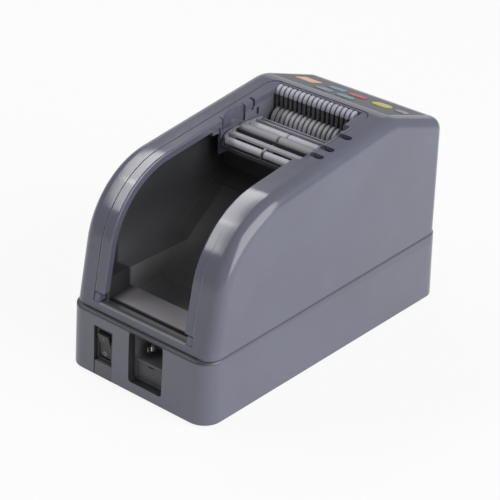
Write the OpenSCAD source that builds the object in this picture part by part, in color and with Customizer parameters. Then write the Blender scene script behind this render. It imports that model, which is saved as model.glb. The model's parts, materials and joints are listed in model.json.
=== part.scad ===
// Electric tape dispenser for the desk. The tape roll stands in an open well at the rear, its
// tape runs over the guide rollers, under the ring roller and through the cutter to the front.
// +X is the right-hand side, +Y the front, +Z up; the origin is on the desk under the middle.

/* [Base] */
// width of the base
base_w = 114; // [112:1:118]
// length of the base, rear to front
base_l = 235; // [234:1:240]
// height of the base wall at its rear, without the feet
base_h = 42.5; // [42:0.1:43]
// how much higher the seam is at the front than at the rear
seam_rise = 5; // [4:0.5:6]
// corner radius of the base, seen from above
base_corner = 13; // [11:0.5:15]
// wall thickness of the moulded shells
wall = 2.5; // [2.2:0.1:2.7]
// how far the rubber feet lift the base off the desk
foot_lift = 1.5; // [1:0.1:3]

/* [Upper housing] */
// forward lean of the rear face, degrees
rear_lean = 10.3; // [9.5:0.1:11]
// radius of the bend from the rear face to the top
rear_bend_r = 58.7; // [55:0.1:62]
// height of the top face above the base's lower edge, at mid length
top_h = 137.2; // [136.8:0.1:140]
// slope of the top face, rising to the front, degrees
top_slope = 7.8; // [7.5:0.1:8.5]
// length of the key panel, from the front face back to where the top face turns down
panel_len = 58.7; // [57.5:0.1:60]
// radius of that turn
crest_r = 29; // [25:0.5:35]
// slope of the key panel, falling to the front, degrees
panel_slope = 17.3; // [16.5:0.1:17.5]
// lean of the front face, degrees
front_lean = 2.5; // [2:0.1:3]
// radius of the long side edges and of the front top edge
edge_r = 8.5; // [7.5:0.1:9]

/* [Tape well] */
// width of the housing's top on each side of the opening
rim_w = 17.4; // [17:0.1:17.8]
// width of the rails that frame the opening
rail_w = 7.6; // [7.3:0.1:7.8]
// height of the rear lip above the seam
lip_rise = 5; // [4:0.1:6]
// height of the roll's shelf above the seam
shelf_rise = 7.5; // [6.5:0.1:8.5]
// rounding of the rails' inner edge
rail_round = 1.4; // [1:0.1:2]

/* [Rollers and comb] */
// fingers on the comb, one more than the rings of the ring roller
finger_count = 17; // [11:1:17]
// radius of the rings
ring_r = 8.5; // [8:0.1:8.5]
// radius of the rubber drive sleeve
sleeve_r = 9.1; // [8.8:0.1:9.1]
// radius of the middle guide roller
guide_r = 3.9; // [3.5:0.1:4]

/* [Keys] */
// height of the key tops above the panel
key_proud = 0.5; // [0.3:0.1:0.8]
// travel of a key
key_travel = 0.4; // [0.2:0.1:0.5]

/* [Hidden] */
$fn = 48;
// clearances: assembled fits, running fits, moulded parts side by side, keys in their holes
fit_gap = 0.03;
run_gap = 0.05;
seam_gap = 0.1;
key_gap = 0.3;
far = 300;
skin = 0.01;

// base: draft of the walls, shoulder under the seam, lower edge
base_wall = wall + 0.5;
draft = 0.8;
front_draft = 2.5;
shoulder_r = 1.6;
bottom_edge = 0.8;
rear_y = 4.2 - base_l / 2;
front_y = base_l / 2 - 5.2;
crest_y = front_y - panel_len;
seam_tilt = atan(seam_rise / (front_y - rear_y));
function seam_z(y) = base_h + seam_rise * (y - rear_y) / (front_y - rear_y);

// side outline of the upper housing: four faces, each the angle of its outward normal and its
// distance from the origin, joined by arcs
function unit(a) = [cos(a), sin(a)];
function meet(a1, c1, a2, c2) =
    [c1 * sin(a2) - c2 * sin(a1), c2 * cos(a1) - c1 * cos(a2)] / sin(a2 - a1);
function arc(centre, r, a0, a1, steps) =
    [for (i = [0:steps]) centre + max(r, skin) * unit(a0 + (a1 - a0) * i / steps)];
rear_a = 180 - rear_lean;
rear_c = unit(rear_a) * [rear_y, base_h];
top_a = 90 + top_slope;
top_c = unit(top_a) * [0, top_h];
panel_a = 90 - panel_slope;
panel_c = unit(panel_a) * [crest_y, top_h + crest_y * tan(top_slope)];
front_a = front_lean;
front_c = unit(front_a) * [front_y, base_h + seam_rise];
seam_a = seam_tilt - 90;
seam_c = unit(seam_a) * [rear_y, base_h];
bend_mid = meet(rear_a, rear_c - rear_bend_r, top_a, top_c - rear_bend_r);
crest_mid = meet(top_a, top_c - crest_r, panel_a, panel_c - crest_r);
nose_mid = meet(panel_a, panel_c - edge_r, front_a, front_c - edge_r);
function side_outline(inset, drop) = concat(
    [meet(rear_a, rear_c - inset, seam_a, seam_c + drop)],
    arc(bend_mid, rear_bend_r - inset, rear_a, top_a, 20),
    arc(crest_mid, crest_r - inset, top_a, panel_a, 7),
    arc(nose_mid, edge_r - inset, panel_a, front_a, 9),
    [meet(front_a, front_c - inset, seam_a, seam_c + drop)]);
function top_z(y) = top_h + y * tan(top_slope);
function front_face_y(z) = front_y - (z - base_h - seam_rise) * tan(front_lean);
top_half = base_w / 2 - 1.7;
edge_steps = 6;

// well: opening, rails that frame it, and the tub that lines it
opening_half = base_w / 2 - rim_w;
opening_corner = 7;
well_front = crest_y - 3.2;
feed_y = well_front - 4.9;
tape_z = top_h - 24.6;
rail_in = opening_half - rail_w;
rail_gap = 0.3;
rail_out = opening_half - rail_gap;
rail_sunk = 0.4;
rail_deep = 5.2;
lip_h = base_h + lip_rise;
rail_foot = lip_h + 6;
cheek_in = rail_in + 0.9;
cheek_t = 2;
cheek_rear = feed_y - 60.5;
cheek_low = tape_z - 0.6;
cross_front = well_front + 2.6;
scoop_r = 15.5;
scoop_y = feed_y - 41.5;
scoop_deep = 4.2;
scoop_wall = 1.6;
scoop_low = top_h - 8.7;
notch_y = feed_y - 24;
notch_w = 2.2;
notch_deep = 7.6;
notch_reach = 4;
clip_w = 0.9;
clip_deep = 3.4;
gap_y = [feed_y - 65, feed_y - 61, feed_y - 57, feed_y - 14.8];
gap_deep = rail_deep - 0.4;
gap_floor = 1.6;
tub_t = 1.6;
tub_low = base_h + 0.1;
tub_floor = tub_low + tub_t;
channel_half = rail_in + 1.5;
tub_half = rail_in + 12;
ledge_h = base_h + 19.5;
shelf_h = base_h + shelf_rise;
trough_rear = rear_y + lip_rise * tan(rear_lean) + wall / cos(rear_lean) + tub_t + 0.2;
shelf_rear = rear_y + 8.9;
shelf_front = shelf_rear + 17.2;
ramp_top = feed_y - 35.5;
ramp_foot = ramp_top - 67.5;
ramp_angle = 38.5;
ramp_top_h = tape_z - 3.6;
ramp_step = 1.2;
ramp_steps = [0.49, 0.676];

// rim slots in the right-hand edge of the opening: where along the edge, and how long
slot_mids = [for (back = [54, 44, 27]) feed_y - back];
slot_len = 4.6;
slot_out = 7.6;

// feed: ring roller over drive roller, with their gears outside the right-hand frame
gear_m = 1;
roller_teeth = 18;
feed_teeth = 36;
pinion_teeth = 12;
cutter_teeth = 40;
drive_at = [feed_y, tape_z - 9.3];
ring_at = drive_at + [0, gear_m * roller_teeth];
feed_motor_at = drive_at - [0, gear_m * (feed_teeth + pinion_teeth) / 2];
shaft_r = 3;
core_r = 4;
roller_half = rail_in - 0.6;
finger_w = 2.3;
comb_x = [0.4 - rail_in, rail_in - 2.4];
comb_mid = (comb_x[0] + comb_x[1]) / 2;
finger_pitch = (comb_x[1] - comb_x[0] - finger_w) / (finger_count - 1);
ring_w = finger_pitch * 0.55;
finger_r = 5.2;
finger_t = 2.2;
lip_y = [well_front - 1.7, well_front - rail_gap];
finger_mid = [lip_y[0] - 0.5, top_z(well_front) - 6.1];
stripper_w = [1.8, 1];
stripper_y = [finger_mid[0] - finger_r + 0.2, finger_mid[0] - finger_r + 2];
stripper_top = finger_mid[1] - 0.4;
stripper_low = ring_at[1] + 5.9;
gear_w = 4;
frame_in = rail_in + 7.6;
frame_t = 1.6;
gear_in = frame_in + frame_t + 0.6;
gear_out = gear_in + gear_w + 0.6;

// cutter: a blade on a turning shaft that shears against a fixed blade above the tape
blade_reach = 11.2;
cutter_at = [front_y - 28.3, tape_z - blade_reach - 0.4];
cutter_motor_at = cutter_at - [0, gear_m * (cutter_teeth + pinion_teeth) / 2];
blade_half = rail_in + 2;

// side frames of sheet steel on both sides of the rollers and the cutter
frame_foot = 10;
frame_feet_y = [feed_y - 5, cutter_at[0] + 8];
frame_foot_x = frame_in + 6.4;
frame_mid = (feed_y + cutter_at[0]) / 2 + 0.5;
spacers_at = [[feed_y - 6, base_h - 2.5], [cutter_at[0] + 12, base_h - 2.5], [frame_mid, tape_z - 9.6]];
bush_r = 5;
motor_r = 14;

// roller carriage
carriage_at = [feed_y - 40, top_h - 15.7];
plate_out = rail_in - 0.35;
plate_t = 1.4;
front_roller_at = [13.1, 2.7];
middle_roller_at = [4.5, 3.4];
rear_roller_at = [-10.1, -0.3];
plate_low = [13.5, -2.5];
plate_tip = [24, 3];
small_roller_r = 3.2;
journal_r = 1.5;
pivot_r = 2;
stop_y = [14.5, 18.5];
web_half = 0.5;

// mains switch and fused inlet in the rear wall
switch_size = [14.8, 23.4];
switch_x = [23 - base_w / 2, 23 - base_w / 2 + switch_size[0]];
switch_z = [base_h - 8.3 - switch_size[1], base_h - 8.3];
switch_face = 2.3 - base_l / 2;
rocker_at = [switch_face + 2.6, (switch_z[0] + switch_z[1]) / 2];
rocker_half = 4.5;
rocker_reach = 8.4;
rocker_tilt = 10;
inlet_size = [26.8, 33.5];
inlet_corner = 2.2;
inlet_gap = 0.25;
inlet_x = [-5.5, inlet_size[0] - 5.5];
inlet_z = [base_h - 1.5 - inlet_size[1], base_h - 1.5];
inlet_mid = [(inlet_x[0] + inlet_x[1]) / 2, base_h - 11.5];
inlet_face = 5.1 - base_l / 2;
inlet_deep = 22;
socket_half = [12.2, 8.2];
socket_deep = 15.5;
pin_half = [1, 2];
pin_len = 10.3;
earth_len = pin_len + 4.4;
drawer_half = 11;
drawer_gap = 0.3;

// panel frame: its own x, distance down the slope, and height over the face
panel_y = front_y - 32.3;
panel_z = (panel_c - panel_y * cos(panel_a)) / sin(panel_a);
panel_half = base_w / 2 - 11;
panel_s = [4.15 - (panel_y - crest_y) / cos(panel_slope),
    (front_y - panel_y) / cos(panel_slope) - 12.8];
recess = 0.5;
display_at = [12.5 - panel_half, 0];
display_size = [15, 13];
// each key: place on the panel, size; the wide keys share the room between display and round key
key_step = panel_half / 46;
key_teal_rear_at = [-11.5 * key_step, 2];
key_teal_left_at = [-10.5 * key_step, -14.5];
key_teal_right_at = [6.5 * key_step, -14.5];
key_red_at = [5 * key_step, 2];
key_yellow_at = [panel_half - 21.5, 1];
key_pale_at = [panel_half - 6, 1];
wide_key = [13 * key_step, 9];
round_key = [13, 13];
small_key = [9, 8];
keys = [[key_teal_rear_at, wide_key], [key_teal_left_at, wide_key], [key_teal_right_at, wide_key],
    [key_red_at, wide_key], [key_yellow_at, round_key], [key_pale_at, small_key]];
flange_t = 1.4;
stem_len = 1;
board_t = 1.6;
switch_h = 3.5;
flange_top = -wall - seam_gap;
stem_low = flange_top - flange_t - stem_len;
switch_top = stem_low - key_travel - seam_gap;
board_top = switch_top - switch_h;
board_half = panel_half - 5;
board_posts = [for (x = [3 - board_half, board_half - 3], s = [panel_s[0] + 5.5, panel_s[1] - 5]) [x, s]];

// front guard, hinged in two lugs over the mouth
mouth_half = rail_in + 3;
mouth_z = [tape_z - 5.6, tape_z + 6.9];
guard_z = tape_z + 8.4;
guard_at = [front_face_y(guard_z) + 2.4, guard_z];
guard_half = mouth_half + 2;
guard_low = tape_z - 11.6;
barrel_r = 1.9;
lug_t = 3;

// screws from under the base into the housing
boss_x = base_w / 2 - 12;
boss_y = [14.5 - base_l / 2, base_l / 2 - 11.5];
boss_r = 4;
screw_r = 1.5;
head_r = 3.2;
head_low = base_h - 10.5;
head_h = 2.2;
boss_top = base_h + 14.5;
foot_x = base_w / 2 - 15;
foot_y = base_l / 2 - 37.5;
foot_r = 7;
foot_sunk = 1;

// supply board on posts in the base, behind the inlet
supply_y = inlet_face + inlet_deep + 8.4;
supply_len = 74;
supply_half = base_w / 2 - 17;
supply_z = 8;
post_inset = 6;
transformer_at = [supply_half - 22, supply_y + supply_len / 2 - 2];
bobbin = [28, 26, 4];
core = [22, 34, 14];
capacitor_x = 16 - supply_half;
capacitor_pitch = 18;
capacitor_r = 6.5;
capacitor_h = 21;

body_grey = [0.40, 0.40, 0.44];
dark_grey = [0.16, 0.16, 0.17];
black = [0.08, 0.08, 0.09];
steel = [0.72, 0.72, 0.74];
white_gear = [0.90, 0.89, 0.85];
brass = [0.80, 0.64, 0.30];
board_green = [0.10, 0.35, 0.20];

// helpers: a solid across the machine from a side view, a box between limits, a rod across
module span(x0, x1) {
    translate([x0, 0, 0]) rotate([90, 0, 90]) linear_extrude(x1 - x0) children();
}
module box(x, y, z) {
    translate([x[0], y[0], z[0]]) cube([x[1] - x[0], y[1] - y[0], z[1] - z[0]]);
}
module rod(x, at, r) {
    translate([x[0], at[0], at[1]]) rotate([0, 90, 0]) cylinder(r = r, h = x[1] - x[0]);
}
module both_sides() {
    children();
    mirror([1, 0, 0]) children();
}
module rounded_rect(size, r) {
    square([size[0] - 2 * r, size[1]], center = true);
    square([size[0], size[1] - 2 * r], center = true);
    for (sx = [-1, 1], sy = [-1, 1])
        translate([sx * (size[0] / 2 - r), sy * (size[1] / 2 - r)]) circle(r);
}
module raised() {
    translate([0, 0, foot_lift]) children();
}
module on_panel() {
    translate([0, panel_y, panel_z]) rotate([-panel_slope, 0, 0]) children();
}

// base: drafted walls, rounded shoulder, top edge in the tilted seam plane
module base_layer(side, front, depth, level) {
    r = base_corner - side;
    for (sx = [-1, 1], y = [side + r - base_l / 2, base_l / 2 - front - r])
        translate([sx * (base_w / 2 - side - r), y, level ? depth : seam_z(y) - depth - skin])
            rotate([level ? 0 : seam_tilt, 0, 0]) cylinder(r = r, h = skin);
}
module base_form() {
    hull() {
        base_layer(bottom_edge, bottom_edge, 0, true);
        base_layer(0, 0, bottom_edge, true);
        for (k = [0:4]) {
            tuck = shoulder_r * (1 - cos(k * 22.5));
            base_layer(draft + tuck, front_draft + tuck, shoulder_r * (1 - sin(k * 22.5)), false);
        }
    }
}
module base_hollow() {
    hull() {
        base_layer(base_wall, base_wall, wall, true);
        base_layer(base_wall + draft, base_wall + front_draft, -3, false);
    }
}
module base_corners(x, y) {
    for (sx = [-1, 1], at = y) translate([sx * x, at, 0]) children();
}
module supply_posts() {
    base_corners(supply_half - post_inset, [supply_y + post_inset, supply_y + supply_len - post_inset])
        children();
}
module base_tray() {
    collar = 1.2;
    seat = head_low + head_h;
    post_top = seam_z(boss_y[0]) - 1.2;
    color(body_grey) difference() {
        union() {
            difference() {
                base_form();
                base_hollow();
            }
            base_corners(boss_x, boss_y) translate([0, 0, 1]) cylinder(r = boss_r + 1, h = post_top - 1);
            base_corners(frame_foot_x, frame_feet_y)
                translate([0, 0, 1]) cylinder(r = 4, h = frame_foot - 1 - fit_gap);
            supply_posts() translate([0, 0, 1]) cylinder(r = 3, h = supply_z - 1);
            box([inlet_x[0] - collar, inlet_x[1] + collar], [1.5 - base_l / 2, 14 - base_l / 2],
                [inlet_z[0] - collar, inlet_z[1] + collar]);
        }
        box(switch_x, [-far, base_wall + 2 - base_l / 2], [-far, switch_z[1]]);
        translate([inlet_mid[0], 0, (inlet_z[0] + inlet_z[1]) / 2]) rotate([90, 0, 0])
            translate([0, 0, base_l / 2 - 20]) linear_extrude(far)
                rounded_rect(inlet_size, inlet_corner);
        base_corners(boss_x, boss_y) {
            translate([0, 0, -1]) cylinder(r = head_r + 0.3, h = seat + 1);
            cylinder(r = screw_r + 0.2, h = far);
        }
        base_corners(foot_x, [-foot_y, foot_y])
            translate([0, 0, -1]) cylinder(r = foot_r + 0.1, h = foot_sunk + 1);
        base_corners(18, [for (i = [0:4]) supply_y + 16 + i * 9])
            translate([0, 0, -1]) linear_extrude(far / 30) rounded_rect([26, 3.2], 1.5);
    }
}
module switch_slot_plate() {
    side = 0.15;
    inner = base_wall + 0.35 - base_l / 2;
    top = switch_z[0] - side;
    color(body_grey) {
        intersection() {
            base_form();
            box(switch_x + [side, -side], [-base_l / 2, inner + 1], [0, top]);
        }
        box(switch_x + [-2, 2], [inner, inner + 1.4], [wall + side, top]);
    }
}
module rubber_feet() {
    color(black) base_corners(foot_x, [-foot_y, foot_y]) translate([0, 0, -foot_lift]) {
        cylinder(r1 = foot_r - 0.8, r2 = foot_r, h = foot_lift - 0.3);
        translate([0, 0, foot_lift - 0.3]) cylinder(r = foot_r, h = foot_sunk + 0.3 - fit_gap);
    }
}
module base_screws() {
    slot = 0.9;
    color(steel) base_corners(boss_x, boss_y) difference() {
        union() {
            translate([0, 0, head_low]) cylinder(r = head_r, h = head_h - fit_gap);
            translate([0, 0, head_low + 1]) cylinder(r = screw_r, h = boss_top - head_low - 4);
        }
        for (a = [0, 90]) rotate(a)
            translate([0, 0, head_low]) cube([2 * head_r - 2, slot, 2.4], center = true);
    }
}

// upper housing: one moulded cover, its long side edges rounded all the way round
module housing_form(half, fillet, inset, drop) {
    hull() for (k = [0:edge_steps]) {
        f = 90 * k / edge_steps;
        w = half - fillet * (1 - cos(f));
        span(-w, w) polygon(side_outline(inset + fillet * (1 - sin(f)), drop));
    }
}
module well_opening() {
    reach = base_l + well_front;
    translate([0, 0, lip_h]) linear_extrude(far) {
        translate([-opening_half, -base_l]) square([2 * opening_half, reach - opening_corner]);
        translate([opening_corner - opening_half, -base_l])
            square([2 * (opening_half - opening_corner), reach]);
        for (sx = [-1, 1])
            translate([sx * (opening_half - opening_corner), well_front - opening_corner])
                circle(opening_corner);
    }
}
module key_holes(grow, low, high) {
    for (k = keys) translate([k[0][0], k[0][1], low]) linear_extrude(high - low)
        rounded_rect(k[1] + [grow, grow], min(k[1]) * 0.35);
}
module panel_cuts() {
    on_panel() {
        translate([-panel_half, panel_s[0], -recess])
            cube([2 * panel_half, panel_s[1] - panel_s[0], 5]);
        key_holes(0, -2 * wall, 1);
        translate([display_at[0], display_at[1], -2 * wall]) linear_extrude(far / 20)
            rounded_rect(display_size, 1.5);
    }
}
module rim_slots() {
    for (y = slot_mids) translate([opening_half - 1, y, top_z(y) - 4.5]) linear_extrude(far / 20) {
        translate([0, -slot_len / 2]) square([slot_out - 1, slot_len]);
        translate([slot_out - 1, 0]) circle(slot_len / 2);
    }
}
module screw_bosses() {
    rib = top_half - wall / 2 - boss_x;
    for (sx = [-1, 1], y = boss_y) {
        low = seam_z(y) + 0.5;
        difference() {
            translate([sx * boss_x, y, low]) {
                cylinder(r = boss_r, h = boss_top - low);
                translate([sx > 0 ? 0 : -rib, -1, 0]) cube([rib, 2, boss_top - low]);
            }
            translate([sx * boss_x, y, 0]) cylinder(r = screw_r + fit_gap, h = boss_top - 2);
        }
    }
}
module guard_lugs() {
    both_sides() difference() {
        span(guard_half + 0.5, guard_half + 0.5 + lug_t) {
            translate(guard_at) circle(barrel_r + 0.6);
            translate(guard_at - [5, barrel_r + 0.6]) square([5, 2 * barrel_r + 1.2]);
        }
        rod([guard_half - 1, guard_half + 2.4], guard_at, 1 + fit_gap);
        housing_form(top_half - wall, edge_r - wall, wall, 5);
    }
}
module upper_housing() {
    color(body_grey) {
        difference() {
            housing_form(top_half, edge_r, 0, -seam_gap);
            housing_form(top_half - wall, edge_r - wall, wall, 5);
            well_opening();
            panel_cuts();
            rim_slots();
            box([-mouth_half, mouth_half], [front_y - 12.3, far], mouth_z);
        }
        screw_bosses();
        guard_lugs();
        on_panel() for (p = board_posts)
            translate([p[0], p[1], board_top + fit_gap])
                cylinder(r = 3, h = -recess - 0.5 - board_top - fit_gap);
    }
}

// rim frame: rails sunk just below the housing's face, cheeks beside the rollers, front cross
module rail() {
    difference() {
        hull() for (k = [0:5]) {
            f = k * 18;
            span(rail_in + rail_round * (1 - cos(f)), rail_out)
                polygon(side_outline(rail_sunk + rail_round * (1 - sin(f)), 0));
        }
        span(rail_in - 1, rail_out + 1) polygon(side_outline(rail_deep, 20));
        box([0, far], [-far, far], [-1, rail_foot]);
        box([0, far], [well_front - rail_gap, far], [0, far]);
        translate([rail_out - opening_corner, well_front - opening_corner, 0]) difference() {
            cube([far, far, far]);
            cylinder(r = opening_corner - rail_gap, h = far);
        }
    }
}
module cheek(rear) {
    // its rear end hangs beside the carriage only as low as the scoop
    high = scoop_low - scoop_wall - 0.4;
    step = cheek_rear + 7.5;
    span(cheek_in, cheek_in + cheek_t) intersection() {
        polygon(side_outline(rail_sunk + rail_round, 0));
        polygon([[rear, high], [step, high], [step, cheek_low], [cross_front, cheek_low],
            [cross_front, far], [rear, far]]);
    }
}
module scoop(r, low) {
    translate([rail_in + scoop_deep - scoop_r, scoop_y, low]) cylinder(r = r, h = far);
}
module scoop_pocket() {
    // walls and floor of the thumb scoop, under the rail
    intersection() {
        scoop(scoop_r + scoop_wall, scoop_low - scoop_wall);
        span(rail_in, rail_out) polygon(side_outline(rail_sunk + rail_round, 0));
    }
}
module carriage_stop() {
    // lug under the carriage's end plate, its top along the plate's lower edge
    slant = (plate_tip[1] - plate_low[1]) / (plate_tip[0] - plate_low[0]);
    top = [for (y = stop_y) plate_low[1] + (y - plate_low[0]) * slant - seam_gap];
    span(plate_out - plate_t, cheek_in + 0.5) translate(carriage_at)
        polygon([[stop_y[0], -5.5], [stop_y[1], -5.5], [stop_y[1], top[1]], [stop_y[0], top[0]]]);
}
module pin_bores() {
    pin_room = [rail_in - 1, cheek_in + cheek_t + 1];
    rod(pin_room, carriage_at, pivot_r + run_gap);
    rod(pin_room, ring_at, shaft_r + 1);
    box([0, far], [well_front - rail_gap, far], [top_z(well_front) - wall - 1, far]);
}
module scooped_side() {
    carriage_stop();
    difference() {
        union() {
            rail();
            cheek(cheek_rear);
            scoop_pocket();
        }
        pin_bores();
        scoop(scoop_r, scoop_low);
        box([rail_in - 1, cheek_in + cheek_t + 1], [notch_y + 5.2, notch_y + 7.4],
            [scoop_low - 0.5, scoop_low + 4.5]);
        box([rail_in - 1, rail_in + notch_reach], [notch_y, notch_y + notch_w],
            [top_z(notch_y) - notch_deep, far]);
        for (y = [scoop_y - 11.4, scoop_y + 9.6])
            box([rail_in - 1, rail_in + clip_deep], [y, y + clip_w], [scoop_low - 0.5, far]);
    }
}
module rail_gap_plan() {
    polygon([[rail_in - 1, gap_y[0]], [rail_in + 5.5, gap_y[1]], [rail_out + 1, gap_y[2]],
        [rail_out + 1, gap_y[3]], [rail_in - 1, gap_y[3]]]);
}
module open_side() {
    carriage_stop();
    difference() {
        union() {
            rail();
            cheek(gap_y[0] - 5);
            span(cheek_in, rail_out) intersection() {
                difference() {
                    polygon(side_outline(gap_deep, 0));
                    polygon(side_outline(gap_deep + gap_floor, 20));
                }
                translate([gap_y[0] - 2, 0]) square([gap_y[3] - gap_y[0] + 4, far]);
            }
        }
        pin_bores();
        difference() {
            linear_extrude(far) rail_gap_plan();
            span(rail_in - 2, rail_out + 2) polygon(side_outline(gap_deep, 20));
        }
    }
}
module rim_frame() {
    color(body_grey) {
        open_side();
        mirror([1, 0, 0]) scooped_side();
        box([-rail_out, rail_out], [lip_y[1] - 0.2, cross_front],
            [stripper_top - 6.5, top_z(well_front) - wall - 1.2]);
        box([-rail_in - 0.4, rail_in + 0.4], lip_y, [stripper_top - 6.5, top_z(lip_y[0]) - rail_sunk]);
    }
}

// well tub: trough behind the rear lip, shelf, roll channel with ledges, stepped ramp
module tub_side(y0, floor_z, ramp_shift) {
    // side view of the space over the floor and the ramp
    rise = tan(ramp_angle);
    steps = [for (share = ramp_steps) tub_floor + share * (ramp_top_h - tub_floor)];
    foot = [ramp_foot + ramp_shift, floor_z];
    at = [for (z = steps) ramp_foot + ramp_shift + (z - floor_z) / rise];
    polygon([[y0, floor_z], foot, [at[0], steps[0]], [at[0] + ramp_step, steps[0]],
        [at[1] + ramp_step, steps[1]], [at[1] + 2 * ramp_step, steps[1]],
        [ramp_top + ramp_shift, steps[1] + (ramp_top + ramp_shift - at[1] - 2 * ramp_step) * rise],
        [ramp_top + ramp_shift, ramp_top_h], [ramp_top + 2 * ramp_shift + 9, ramp_top_h],
        [ramp_top + 2 * ramp_shift + 9, far], [y0, far]]);
}
module tub_shell() {
    rear = trough_rear - tub_t;
    top_cut = rail_deep + 0.6;
    span(-channel_half - tub_t, channel_half + tub_t) difference() {
        intersection() {
            tub_side(rear, tub_low, tub_t);
            translate([rear, tub_low]) square([far, ledge_h - tub_low]);
        }
        difference() {
            translate([-far, lip_h - 0.3]) square([far, far]);
            polygon(side_outline(top_cut, 0));
        }
    }
    span(-tub_half - tub_t, tub_half + tub_t) intersection() {
        tub_side(rear, tub_low, tub_t);
        translate([rear, ledge_h - tub_t]) square([ramp_top + tub_t - rear, far]);
        polygon(side_outline(top_cut, 0));
    }
}
module well_tub() {
    shelf_t = shelf_h - 0.6;
    riser = 2.6;
    color(dark_grey) difference() {
        tub_shell();
        difference() {
            span(-channel_half, channel_half) tub_side(trough_rear, tub_floor, 0);
            span(-channel_half - 1, channel_half + 1)
                polygon([[trough_rear, tub_low], [trough_rear, tub_floor], [shelf_rear, shelf_t - riser],
                    [shelf_rear + 0.4, shelf_t], [shelf_front, shelf_h + 1], [shelf_front + 0.4, tub_low]]);
        }
        span(-tub_half, tub_half) intersection() {
            tub_side(trough_rear, tub_floor, 0);
            translate([-far, ledge_h]) square([2 * far, far]);
        }
        box([-channel_half + 1, channel_half - 1], [shelf_rear + tub_t, shelf_front - tub_t],
            [tub_low - 1, shelf_t - tub_t]);
    }
}

// mains switch
module switch_body() {
    room = rocker_half + key_gap;
    x = (switch_x[0] + switch_x[1]) / 2;
    color(black) difference() {
        box(switch_x + [0.2, -0.2], [switch_face, switch_face + 17], switch_z + [0.2, -0.2]);
        box([x - room, x + room], [-far, rocker_at[0] + 4.2],
            [rocker_at[1] - rocker_reach - 1.1, rocker_at[1] + rocker_reach + 1.1]);
        rod([x - room - 1.4, x + room + 1.4], rocker_at, 1 + run_gap);
    }
}
module switch_rocker() {
    x = (switch_x[0] + switch_x[1]) / 2;
    color(black) {
        span(x - rocker_half, x + rocker_half) translate(rocker_at) rotate(rocker_tilt)
            polygon([[-2.4, 0], [-3.4, rocker_reach], [1.5, rocker_reach], [2.6, 3], [2.6, -3],
                [1.5, -rocker_reach], [-3.4, -rocker_reach]]);
        rod([x - rocker_half - 1.2, x + rocker_half + 1.2], rocker_at, 1);
    }
}
module switch_terminals() {
    x = (switch_x[0] + switch_x[1]) / 2;
    back = switch_face + 17 + fit_gap;
    color(brass) for (dz = [-7, 0, 7]) difference() {
        box([x - 2.4, x + 2.4], [back, back + 8], [rocker_at[1] + dz - 0.4, rocker_at[1] + dz + 0.4]);
        translate([x, back + 5, 0]) cylinder(r = 0.8, h = far);
    }
}

// fused mains inlet, set back behind its window
drawer_z = [inlet_z[0] + 2, inlet_mid[1] - socket_half[1] - 2.2];
module inlet_body() {
    color(black) difference() {
        translate([inlet_mid[0], inlet_face + inlet_deep, (inlet_z[0] + inlet_z[1]) / 2])
            rotate([90, 0, 0]) linear_extrude(inlet_deep)
                rounded_rect(inlet_size - 2 * [inlet_gap, inlet_gap], inlet_corner - inlet_gap);
        translate([inlet_mid[0], inlet_face + socket_deep, inlet_mid[1]]) rotate([90, 0, 0])
            linear_extrude(far / 10) rounded_rect(2 * socket_half, 3);
        box([inlet_mid[0] - drawer_half, inlet_mid[0] + drawer_half], [-far, inlet_face + 18], drawer_z);
    }
}
module inlet_pin(len) {
    // flat pin along Y, its tip narrowed on all four sides
    tip = 1.4;
    taper = 0.6;
    intersection() {
        span(-pin_half[0], pin_half[0])
            polygon([[0, -pin_half[1]], [tip - len, -pin_half[1]], [-len, taper - pin_half[1]],
                [-len, pin_half[1] - taper], [tip - len, pin_half[1]], [0, pin_half[1]]]);
        translate([0, 0, -pin_half[1]]) linear_extrude(2 * pin_half[1])
            polygon([[-pin_half[0], 0], [-pin_half[0], tip - len], [taper - pin_half[0], -len],
                [pin_half[0] - taper, -len], [pin_half[0], tip - len], [pin_half[0], 0]]);
    }
}
module inlet_pins() {
    back = inlet_face + socket_deep - fit_gap;
    color(steel) translate([inlet_mid[0], back, inlet_mid[1]]) {
        for (x = [-7, 7]) translate([x, 0, -3.9]) inlet_pin(pin_len);
        translate([0, 0, 1.8]) inlet_pin(earth_len);
    }
}
module fuse_drawer() {
    z = drawer_z + [drawer_gap, -drawer_gap];
    half = drawer_half - drawer_gap;
    face = inlet_face + 0.4;
    color(black) difference() {
        box([inlet_mid[0] - half, inlet_mid[0] + half], [face, face + 16.8], z);
        box([inlet_mid[0] - 2, inlet_mid[0] + 2], [face - 1, face + 1.2], [z[1] - 0.8, far]);
        box([inlet_mid[0] - 8, inlet_mid[0] + 8], [face + 3, face + 15], [z[0] + 2, far]);
    }
}

// key panel
module control_overlay() {
    color([0.48, 0.48, 0.53]) on_panel() difference() {
        translate([-panel_half + 0.1, panel_s[0] + 0.1, -recess + fit_gap])
            cube([2 * panel_half - 0.2, panel_s[1] - panel_s[0] - 0.2, recess - fit_gap]);
        key_holes(0.2, -1, 1);
        translate([display_at[0], display_at[1], -1]) linear_extrude(2)
            rounded_rect(display_size + [0.2, 0.2], 1.5);
    }
}
module display_window() {
    color([0.95, 0.60, 0.30]) on_panel() translate([display_at[0], display_at[1], -wall])
        linear_extrude(wall) rounded_rect(display_size - [0.2, 0.2], 1.4);
}
module display_module() {
    color(black) on_panel() translate([display_at[0], display_at[1], board_top + fit_gap])
        linear_extrude(-wall - 0.2 - board_top) rounded_rect(display_size - [1, 1], 0.6);
}
module control_board() {
    color(board_green) on_panel() difference() {
        translate([-board_half, panel_s[0] + 2, board_top - board_t])
            cube([2 * board_half, panel_s[1] - panel_s[0] - 4, board_t]);
        for (p = board_posts) translate([p[0], p[1], board_top - 5]) cylinder(r = 1.2, h = 10);
    }
}
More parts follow.
